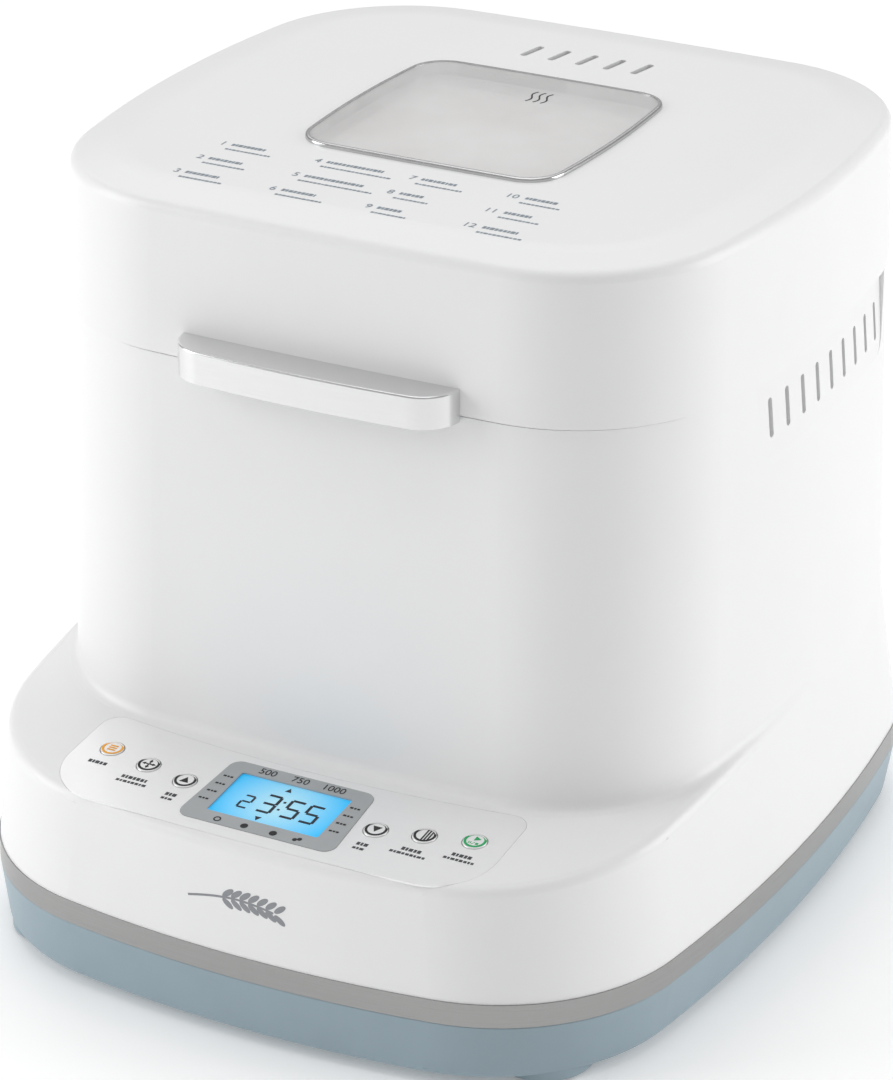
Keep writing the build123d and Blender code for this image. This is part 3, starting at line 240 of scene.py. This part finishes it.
class Print:
    """Flat shapes in millimetres, gathered in one mesh and then laid on the parts under them."""

    def __init__(self, name):
        self.name = name
        self.mesh = bmesh.new()

    def face(self, points):
        self.mesh.faces.new([self.mesh.verts.new((x, y, 0.0)) for x, y in points])

    def stroke(self, points, width, closed=False):
        """A band of that width along the points, made of short straight pieces."""
        line = [Vector(point) for point in points]
        if closed:
            line.append(line[0])
        fine = [line[0]]
        for start, end in zip(line, line[1:]):
            steps = max(1, int((end - start).length * MM / CURVE_STEP))
            fine += [start.lerp(end, (step + 1) / steps) for step in range(steps)]
        if closed:
            fine.pop()
        rails = []
        for index, point in enumerate(fine):
            before = fine[index - 1] if closed or index else point
            after = fine[(index + 1) % len(fine)] if closed or index + 1 < len(fine) else point
            along = (after - before).normalized()
            across = Vector((-along.y, along.x)) * width / 2
            sides = (point - across, point + across)
            rails.append([self.mesh.verts.new((side.x, side.y, 0.0)) for side in sides])
        pairs = list(zip(rails, rails[1:] + rails[:1])) if closed else list(zip(rails, rails[1:]))
        for first, second in pairs:
            self.mesh.faces.new((first[0], second[0], second[1], first[1]))

    def ring(self, x, y, radius, width, count=48):
        self.stroke([(x + radius * cos(2 * pi * i / count), y + radius * sin(2 * pi * i / count))
                     for i in range(count)], width, closed=True)

    def disc(self, x, y, radius, count=32):
        self.face([(x + radius * cos(2 * pi * i / count), y + radius * sin(2 * pi * i / count))
                   for i in range(count)])

    def arrow(self, x, y, size, turn):
        """A filled triangle that points along the turn, in degrees anticlockwise from +x."""
        corners = [(1.0, 0.0), (-0.55, 0.85), (-0.55, -0.85)]
        c, s = cos(radians(turn)), sin(radians(turn))
        self.face([(x + size * (c * u - s * v), y + size * (s * u + c * v)) for u, v in corners])

    def words(self, x, y, length, height):
        """A line of small blocks where words would stand, from the left end x, centred on y."""
        widths = (1.2, 0.8, 1.5, 1.0, 1.3)
        at, count = x, 0
        while at + 0.6 < x + length:
            end = min(at + widths[count % len(widths)], x + length)
            self.stroke([(at, y), (end, y)], height)
            at = end + 0.38
            count += 1

    def number(self, text, x, y, size):
        """A number in the plain built-in face, with its lower left corner at the point."""
        curve = bpy.data.curves.new("number", "FONT")
        curve.body = text
        curve.size = size
        writing = bpy.data.objects.new("number", curve)
        flat = bpy.data.meshes.new_from_object(writing)
        start = len(self.mesh.verts)
        self.mesh.from_mesh(flat)
        self.mesh.verts.ensure_lookup_table()
        for vertex in self.mesh.verts[start:]:
            vertex.co += Vector((x, y, 0.0))
        bpy.data.objects.remove(writing)
        bpy.data.curves.remove(curve)
        bpy.data.meshes.remove(flat)

    def lay(self, parts, body, ink, to_space, ahead):
        """Drops the shapes on the parts along the direction ahead, and makes them ride on the body."""
        bmesh.ops.remove_doubles(self.mesh, verts=self.mesh.verts, dist=1e-5)
        tops = [BVHTree.FromObject(nodes[part], bpy.context.evaluated_depsgraph_get()) for part in parts]
        ahead = Vector(ahead)
        for vertex in self.mesh.verts:
            start = to_space(vertex.co.x * MM, vertex.co.y * MM) - ahead * 0.5
            hits = [hit for hit in (top.ray_cast(start, ahead) for top in tops) if hit[0]]
            place, normal = min(hits, key=lambda hit: hit[3])[:2]
            vertex.co = place + normal * INK_LIFT
        bmesh.ops.recalc_face_normals(self.mesh, faces=self.mesh.faces)
        if sum(face.normal.dot(ahead) * face.calc_area() for face in self.mesh.faces) > 0:
            bmesh.ops.reverse_faces(self.mesh, faces=self.mesh.faces)
        shape = bpy.data.meshes.new(self.name)
        self.mesh.to_mesh(shape)
        self.mesh.free()
        piece = bpy.data.objects.new(self.name, shape)
        scene.collection.objects.link(piece)
        shape.materials.append(INKS[ink])
        skin = piece.modifiers.new("skin", "SOLIDIFY")
        skin.thickness = INK_THICKNESS
        skin.offset = 1.0
        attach(piece, body)
        return piece


def from_above(u, v):
    return Vector((u, v, 0.0))


def from_front(u, v):
    return Vector((u, 0.0, v))


DOWN = (0.0, 0.0, -1.0)
BACK = (0.0, 1.0, 0.0)


def middle(part):
    low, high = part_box(part)
    return (low + high) / (2 * MM)


# The seven strokes of a display digit, on a unit-wide and two-unit-high figure.
STROKES = {
    "a": ((0.02, 2), (0.98, 2)), "b": ((1, 1.96), (1, 1.04)), "c": ((1, 0.96), (1, 0.04)),
    "d": ((0.02, 0), (0.98, 0)), "e": ((0, 0.96), (0, 0.04)), "f": ((0, 1.96), (0, 1.04)),
    "g": ((0.06, 1), (0.94, 1)),
}
DIGITS = {"2": "abged", "3": "abgcd", "5": "afgcd"}


def display_digits():
    """The programme number, the time left and the two pointers, on the display's lens."""
    shown = Print("display_digits")
    x, y = display_centre.x / MM, display_centre.y / MM
    figures = (("2", -13.9, -6.0, 3.6, 0.85), ("3", -6.4, -5.5, 5.0, 1.15), ("5", 2.9, -5.5, 5.0, 1.15),
               ("5", 10.5, -5.5, 5.0, 1.15))
    for digit, left, foot, size, width in figures:
        for name in DIGITS[digit]:
            ends = [(x + left + size * u, y + foot + size * v) for u, v in STROKES[name]]
            shown.stroke(ends, width)
    for height in (-2.3, 2.3):
        shown.stroke([(x + 0.2, y + height), (x + 1.2, y + height)], 1.0)
    shown.arrow(x - 1.6, y + 9.2, 1.5, 90)
    shown.arrow(x - 3.4, y - 9.6, 1.5, -90)
    shown.lay(["display_lens"], "housing", "ink_display", from_above, DOWN)


KEY_RING_RADIUS = 3.55     # to the middle of the ring's line
KEY_RING_WIDTH = 0.9
STRIPES_RADIUS = 3.2       # the stripes on the crust colour key end inside the ring


def key_marks():
    """The ring and the sign on each key, which move with it."""
    signs = {"key_menu": "ink_orange", "key_start": "ink_green"}
    for key in ("key_menu", "key_size", "key_time_up", "key_time_down", "key_colour", "key_start"):
        mark = Print(key + "_mark")
        x, y = middle(key).x, middle(key).y
        mark.ring(x, y, KEY_RING_RADIUS, KEY_RING_WIDTH)
        if key == "key_menu":
            for row in (-1.25, 0.0, 1.25):
                mark.stroke([(x - 1.6, y + row), (x + 1.6, y + row)], 0.7)
        elif key == "key_size":
            for turn in range(0, 360, 90):
                c, s = cos(radians(turn)), sin(radians(turn))
                mark.stroke([(x + 0.2 * c, y + 0.2 * s), (x + 1.7 * c, y + 1.7 * s)], 0.6)
                mark.arrow(x + 1.9 * c, y + 1.9 * s, 0.85, turn)
        elif key == "key_time_up":
            mark.arrow(x, y - 0.3, 2.1, 90)
        elif key == "key_time_down":
            mark.arrow(x, y + 0.3, 2.1, -90)
        elif key == "key_colour":
            for across in (0.0, 1.05, 2.1):
                reach = sqrt(STRIPES_RADIUS ** 2 - across ** 2)
                mark.stroke([(x + across, y - reach), (x + across, y + reach)], 0.55)
        else:
            mark.arrow(x + 0.3, y + 1.1, 1.5, 0)
            mark.stroke([(x - 1.7, y - 1.0), (x - 1.7, y - 2.2)], 0.32)
            mark.stroke([(x - 1.0, y - 1.0), (x - 1.0, y - 2.2)], 0.32)
            mark.stroke([(x - 0.4, y - 2.4), (x + 0.4, y - 0.9)], 0.25)
            mark.stroke([(x + 0.8, y - 1.6), (x + 1.9, y - 1.6)], 1.05)
        mark.lay([key], key + "_body", signs.get(key, "ink_black"), from_above, DOWN)


LABEL_UPPER = 9.6          # from the middle of a key forward to its label's two lines
LABEL_LOWER = 12.3


def key_labels():
    """Rows of small blocks where a label stands in front of each key, in two lines."""
    labels = Print("key_labels")
    lengths = {"key_menu": (8.0, 0.0), "key_size": (10.5, 12.0), "key_time_up": (4.5, 5.0),
               "key_time_down": (4.5, 5.0), "key_colour": (7.5, 14.0), "key_start": (7.5, 11.5)}
    for key, (upper, lower) in lengths.items():
        x, y = middle(key).x, middle(key).y
        labels.words(x - upper / 2, y - LABEL_UPPER, upper, 1.7)
        labels.words(x - lower / 2, y - LABEL_LOWER, lower, 1.2)
    labels.lay(["control_panel_overlay"], "housing", "ink_grey", from_above, DOWN)


def bezel_marks():
    """Loaf weights behind the display, crust signs in front of it and stage bars at its sides."""
    marks = Print("bezel_marks")
    low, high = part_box("display_bezel")
    x, y = display_centre.x / MM, display_centre.y / MM
    rear = (display_high.y + high.y) / (2 * MM)
    front = (display_low.y + low.y) / (2 * MM)
    for text, across in (("500", -17.0), ("750", -4.0), ("1000", 8.2)):
        marks.number(text, x + across, rear - 1.5, 4.6)
    marks.ring(x - 15.4, front - 0.6, 1.15, 0.5)
    marks.disc(x - 4.7, front - 0.6, 1.4)
    marks.disc(x + 6.7, front - 0.6, 1.4)
    marks.disc(x + 15.4, front - 0.9, 0.9)
    marks.disc(x + 16.9, front - 0.1, 0.9)
    for row in range(4):
        height = y + 8.0 - 5.0 * row
        marks.words(x - 27.2 - 0.4 * row, height, 3.8, 0.9)
        marks.words(x + 23.4, height, 3.8, 0.9)
    marks.lay(["display_bezel"], "housing", "ink_black", from_above, DOWN)


def programme_list():
    """Twelve numbered programmes on the front of the lid, each with plain bars for its name."""
    listing = Print("programme_list")
    columns = ((-71.0, 1.0), (-33.0, 1.3), (4.0, 1.0), (41.0, 1.0))
    rows = (-39.0, -54.5, -70.0)
    names = (14.0, 13.0, 13.0, 17.0, 18.0, 10.0, 14.0, 9.0, 9.0, 12.0, 11.0, 13.0)
    for index, length in enumerate(names):
        x, wide = columns[index // 3]
        y = rows[index % 3]
        listing.number(str(index + 1), x, y, 5.0)
        start = x + (7.4 if index > 8 else 4.6)
        listing.words(start, y + 1.75, length * wide, 2.0)
        listing.words(start, y - 3.0, (length + 4.0) * wide, 1.1)
    listing.lay(["lid_shell"], "lid", "ink_slate", from_above, DOWN)


def steam_sign():
    """Three rising curls on the window, which say that steam comes out here."""
    sign = Print("steam_sign")
    for across in (-3.0, 0.0, 3.0):
        curl = [(7.0 + across + 0.9 * sin(2 * pi * i / 14), 49.0 + 0.75 * i) for i in range(15)]
        sign.stroke(curl, 0.6)
    sign.lay(["window_glass"], "lid", "ink_black", from_above, DOWN)


def front_emblem():
    """A plain ear of grain on the front of the base: a curved stalk with pairs of kernels."""
    emblem = Print("front_emblem")
    stalk = [(-20.0 + 2.0 * i, 52.0 + 3.0 * sin(pi * i / 20)) for i in range(18)]
    emblem.stroke(stalk, 0.8)
    for index in range(7):
        x = -6.0 + 3.4 * index
        y = 52.0 + 3.0 * sin(pi * (x + 20.0) / 40)
        for side in (-1, 1):
            turn = radians(36 * side)
            kernel = []
            for i in range(20):
                along, across = 2.6 * cos(2 * pi * i / 20) + 2.6, 1.05 * sin(2 * pi * i / 20)
                kernel.append((x + along * cos(turn) - across * sin(turn),
                               y + side * 0.5 + along * sin(turn) + across * cos(turn)))
            emblem.face(kernel)
    emblem.lay(["housing_shell"], "housing", "ink_silver", from_front, BACK)


# ---- Stage, light and camera ---------------------------------------------------------------

CAMERA_PLACE = Vector((0.6702, -1.2561, 0.7874))
CAMERA_TURN = 28.397       # degrees to the right of straight in front
CAMERA_TILT = 24.845       # degrees downwards
CAMERA_ROLL = -0.218
CAMERA_LENS = 144.02
CAMERA_SHIFT = (0.01537, -0.00325)


def camera():
    """The camera at the viewing angle, with the axes of its view worked out from turn, tilt and roll."""
    turn, tilt, roll = radians(CAMERA_TURN), radians(CAMERA_TILT), radians(CAMERA_ROLL)
    back = Vector((sin(turn) * cos(tilt), -cos(turn) * cos(tilt), sin(tilt)))
    right = (-back).cross(Vector((0, 0, 1))).normalized()
    up = right.cross(-back)
    right, up = cos(roll) * right + sin(roll) * up, cos(roll) * up - sin(roll) * right
    lens = bpy.data.cameras.new("camera")
    lens.lens = CAMERA_LENS
    lens.shift_x, lens.shift_y = CAMERA_SHIFT
    lens.clip_end = 50.0
    view = bpy.data.objects.new("camera", lens)
    view.matrix_world = Matrix((right, up, back)).transposed().to_4x4()
    view.matrix_world.translation = CAMERA_PLACE
    scene.collection.objects.link(view)
    scene.camera = view


def softbox(name, place, aim, size, power):
    """A rectangular area light at the place, facing the aim."""
    light = bpy.data.lights.new(name, "AREA")
    light.shape = "RECTANGLE"
    light.size, light.size_y = size
    light.energy = power
    lamp = bpy.data.objects.new(name, light)
    lamp.location = place
    lamp.rotation_euler = (Vector(place) - Vector(aim)).to_track_quat("Z", "Y").to_euler()
    scene.collection.objects.link(lamp)


FLOOR_REACH = 6.0
FLOOR_GLOW = 0.16          # lit a little from below, as on a light table
SKY_STRENGTH = 0.43
MIDDLE_OF_MACHINE = (0, 0, 0.15)

# Each softbox's place, size in metres and power in watts.
SOFTBOXES = {
    "left_softbox": ((-2.0, -1.15, 0.9), (1.4, 1.8), 26),
    "right_softbox": ((2.1, 1.15, 0.8), (1.4, 1.8), 25),
    "top_softbox": ((0.0, 0.0, 2.4), (2.0, 2.0), 13),
    "rear_softbox": ((-0.85, 1.3, 2.0), (2.0, 2.0), 11),
}


def stage():
    """The pale floor, the even light all round and the four softboxes."""
    floor_mesh = bpy.data.meshes.new("floor")
    corners = [(x * FLOOR_REACH, y * FLOOR_REACH, 0) for x, y in ((-1, -1), (1, -1), (1, 1), (-1, 1))]
    floor_mesh.from_pydata(corners, [], [(0, 1, 2, 3)])
    floor = bpy.data.objects.new("floor", floor_mesh)
    floor_mesh.materials.append(surface("floor_paint", (0.97, 0.97, 0.97), 0.6, vary=0.004, height=1e-5,
                                        Emission_Color=(1.0, 1.0, 1.0, 1.0),
                                        Emission_Strength=FLOOR_GLOW))
    scene.collection.objects.link(floor)
    world = bpy.data.worlds.new("studio")
    scene.world = world
    world.use_nodes = True
    sky = world.node_tree.nodes["Background"]
    sky.inputs["Color"].default_value = (1.0, 1.0, 1.0, 1.0)
    sky.inputs["Strength"].default_value = SKY_STRENGTH
    for name, (place, size, power) in SOFTBOXES.items():
        softbox(name, place, MIDDLE_OF_MACHINE, size, power)
    scene.view_settings.view_transform = "Standard"


dress_cad_parts()
display_digits()
key_marks()
key_labels()
bezel_marks()
programme_list()
steam_sign()
front_emblem()
camera()
stage()
